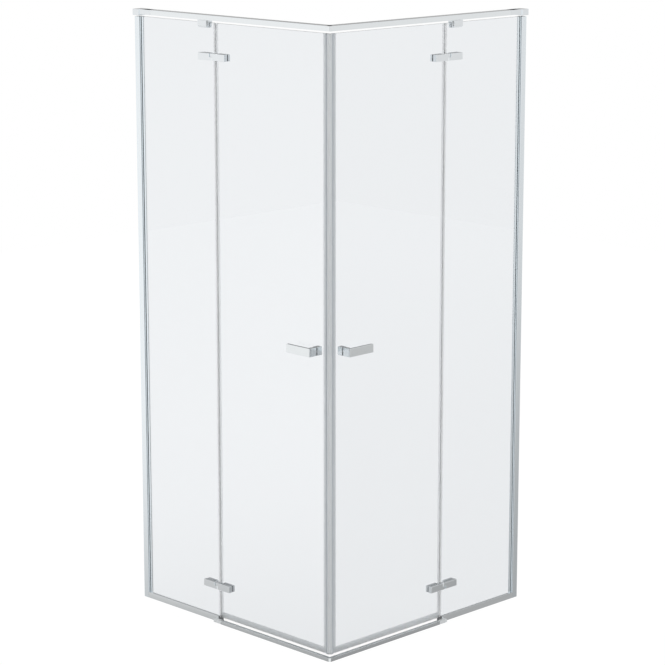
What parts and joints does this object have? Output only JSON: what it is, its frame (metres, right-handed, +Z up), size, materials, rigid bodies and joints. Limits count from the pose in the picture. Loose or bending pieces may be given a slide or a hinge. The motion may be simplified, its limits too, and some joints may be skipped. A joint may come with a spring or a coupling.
{
  "type": "shower cabin",
  "caption": "Square corner-entry shower enclosure: clear glass sides with fixed panels, outward-opening hinged doors, stabiliser bars, handles and seals.",
  "frame": {"origin": "on the floor, under the middle of the bounding box, inside the shower", "axes": "+Z up; the walls stand at -X and at +Y; the entry corner, where the doors meet, is at +X -Y"},
  "size_m": [0.9226, 0.9226, 2],
  "materials": {
    "polished_aluminium": "bright polished",
    "chrome": "bright chrome",
    "clear_glass": "clear 6 mm safety glass",
    "clear_seal": "soft translucent grey",
    "grey_plastic": "satin light grey",
    "black_plastic": "satin black",
    "steel": "ground pin"
  },
  "bodies": {
    "frame": {"left_wall_profile": "polished_aluminium", "left_glass_channel": "polished_aluminium", "left_fixed_glass": "clear_glass", "left_bottom_profile": "polished_aluminium", "left_bottom_profile_end_cap": "black_plastic", "left_threshold": "polished_aluminium", "left_threshold_end_cap": "grey_plastic", "left_top_bar": "polished_aluminium", "left_bar_wall_bracket": "chrome", "left_bar_wedge": "black_plastic", "left_bar_clamp": "chrome", "left_bar_clamp_plate": "chrome", "left_upper_hinge_block": "chrome", "left_lower_hinge_block": "chrome", "left_upper_hinge_backplate": "chrome", "left_lower_hinge_backplate": "chrome", "left_upper_hinge_pin": "steel", "left_lower_hinge_pin": "steel", "right_wall_profile": "polished_aluminium", "right_glass_channel": "polished_aluminium", "right_fixed_glass": "clear_glass", "right_bottom_profile": "polished_aluminium", "right_bottom_profile_end_cap": "black_plastic", "right_threshold": "polished_aluminium", "right_threshold_end_cap": "grey_plastic", "right_top_bar": "polished_aluminium", "right_bar_wall_bracket": "chrome", "right_bar_wedge": "black_plastic", "right_bar_clamp": "chrome", "right_bar_clamp_plate": "chrome", "right_upper_hinge_block": "chrome", "right_lower_hinge_block": "chrome", "right_upper_hinge_backplate": "chrome", "right_lower_hinge_backplate": "chrome", "right_upper_hinge_pin": "steel", "right_lower_hinge_pin": "steel", "bar_corner_connector": "black_plastic", "threshold_corner": "grey_plastic"},
    "left_door": {"left_door_glass": "clear_glass", "left_upper_hinge_leaf": "chrome", "left_lower_hinge_leaf": "chrome", "left_upper_leaf_plate": "chrome", "left_lower_leaf_plate": "chrome", "left_handle_grip": "chrome", "left_handle_knob": "chrome", "left_door_bottom_seal": "clear_seal", "left_door_hinge_seal": "clear_seal", "left_door_magnet_seal": "clear_seal"},
    "right_door": {"right_door_glass": "clear_glass", "right_upper_hinge_leaf": "chrome", "right_lower_hinge_leaf": "chrome", "right_upper_leaf_plate": "chrome", "right_lower_leaf_plate": "chrome", "right_handle_grip": "chrome", "right_handle_knob": "chrome", "right_door_bottom_seal": "clear_seal", "right_door_hinge_seal": "clear_seal", "right_door_magnet_seal": "clear_seal"}
  },
  "joints": [
    {"name": "left_door_hinge", "type": "hinge", "parent": "frame", "child": "left_door", "pos_m": [-0.08885, -0.4378, 0], "axis": [0, 0, -1], "range_deg": [0, 90]},
    {"name": "right_door_hinge", "type": "hinge", "parent": "frame", "child": "right_door", "pos_m": [0.4378, 0.08885, 0], "axis": [0, 0, 1], "range_deg": [0, 90]}
  ]
}
